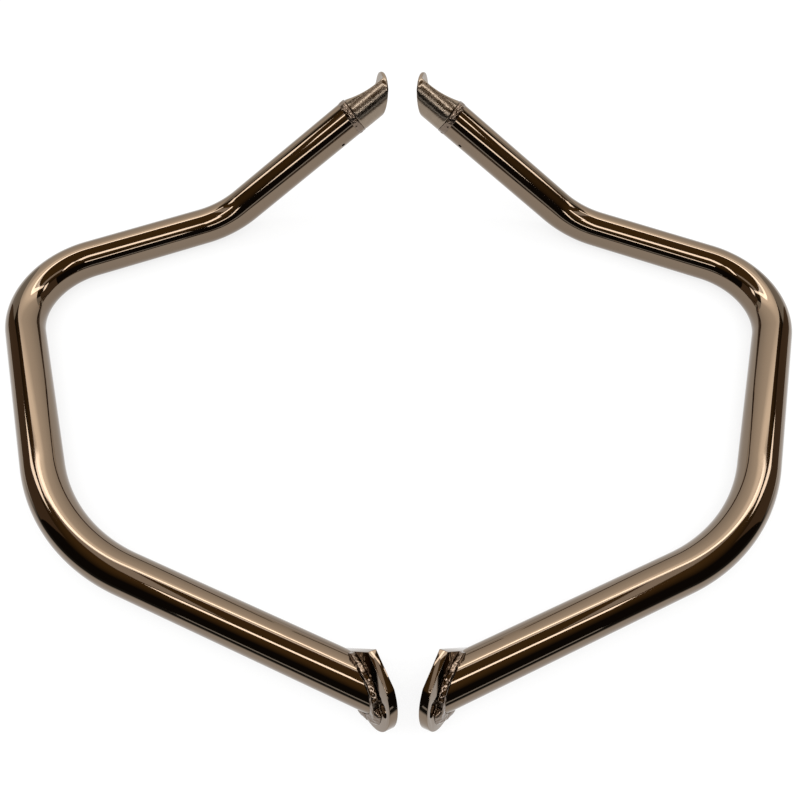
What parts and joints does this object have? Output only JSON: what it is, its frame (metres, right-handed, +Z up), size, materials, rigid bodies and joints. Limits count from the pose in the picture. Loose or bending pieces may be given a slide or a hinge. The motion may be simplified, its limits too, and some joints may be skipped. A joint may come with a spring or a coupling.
{
  "type": "motorcycle crash bars",
  "caption": "Left and right motorcycle crash bars of bent, dark chromed tube lying flat, each with a cast bolt end and a bolt plate.",
  "frame": {"origin": "on the floor, under the middle of the pair's outer box", "axes": "+X across the pair to the right-hand bar, +Y from the bolt plates to the bolt ends, +Z up"},
  "size_m": [0.6856, 0.5425, 0.1285],
  "materials": {
    "polished_tube": "polished dark chrome",
    "rough_casting": "grainy casting under dark chrome",
    "plated_weld": "lumpy weld bead under dark chrome",
    "polished_plate": "polished dark chrome"
  },
  "bodies": {
    "root": {"left_bar": "polished_tube", "left_cast_end": "rough_casting", "left_ring_weld": "plated_weld", "left_lower_plate": "polished_plate", "left_fillet_weld": "plated_weld", "right_bar": "polished_tube", "right_cast_end": "rough_casting", "right_ring_weld": "plated_weld", "right_lower_plate": "polished_plate", "right_fillet_weld": "plated_weld"}
  },
  "joints": []
}
